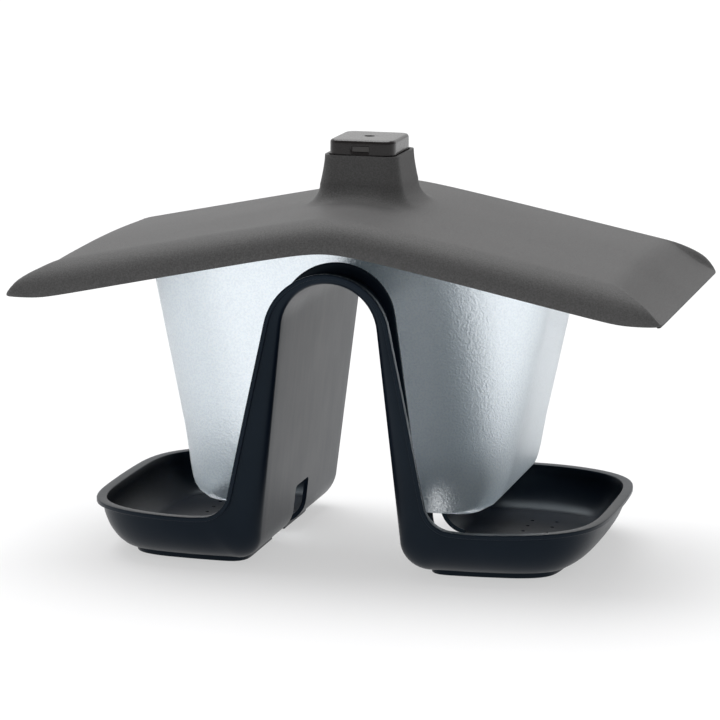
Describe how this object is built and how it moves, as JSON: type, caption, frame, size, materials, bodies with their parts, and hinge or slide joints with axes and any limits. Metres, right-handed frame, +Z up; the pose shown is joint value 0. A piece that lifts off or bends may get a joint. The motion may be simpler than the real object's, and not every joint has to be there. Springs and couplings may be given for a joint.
{
  "type": "bird seed feeder",
  "caption": "Hanging or rail-mounted seed feeder: arched saddle with a tray at each foot, frosted hopper, lift-up gull-wing roof and hanger cap.",
  "frame": {"origin": "on the ground, midway between the two feet", "axes": "+Z up, X across the two trays, -Y towards the front"},
  "size_m": [0.309, 0.17, 0.1956],
  "materials": {
    "roof_plastic": "satin fine-grained moulding, warm neutral grey",
    "base_plastic": "satin moulding, near-black navy",
    "hopper_plastic": "frosted translucent moulding with a fine grain and polished edges",
    "cap_plastic": "glossy moulding, brown-black",
    "catch_plastic": "satin moulding, dark grey",
    "pin_steel": "plain zinc-plated steel"
  },
  "bodies": {
    "base": {"saddle_base": "base_plastic", "hanger_post": "base_plastic", "post_screws": "pin_steel", "cord_pin": "pin_steel", "hanger_cap": "cap_plastic"},
    "hopper": {"hopper": "hopper_plastic"},
    "roof": {"roof_canopy": "roof_plastic"},
    "catch_front": {"catch_front": "catch_plastic"},
    "catch_back": {"catch_back": "catch_plastic"}
  },
  "joints": [
    {"name": "hopper_lift", "type": "slide", "parent": "base", "child": "hopper", "axis": [0, 0, 1], "range_m": [0, 0.17]},
    {"name": "roof_lift", "type": "slide", "parent": "hopper", "child": "roof", "axis": [0, 0, 1], "range_m": [0, 0.09]},
    {"name": "catch_front_press", "type": "slide", "parent": "base", "child": "catch_front", "axis": [0, 1, 0], "range_m": [0, 0.0012], "stiffness_N_per_m": 400},
    {"name": "catch_back_press", "type": "slide", "parent": "base", "child": "catch_back", "axis": [0, -1, 0], "range_m": [0, 0.0012], "stiffness_N_per_m": 400}
  ]
}
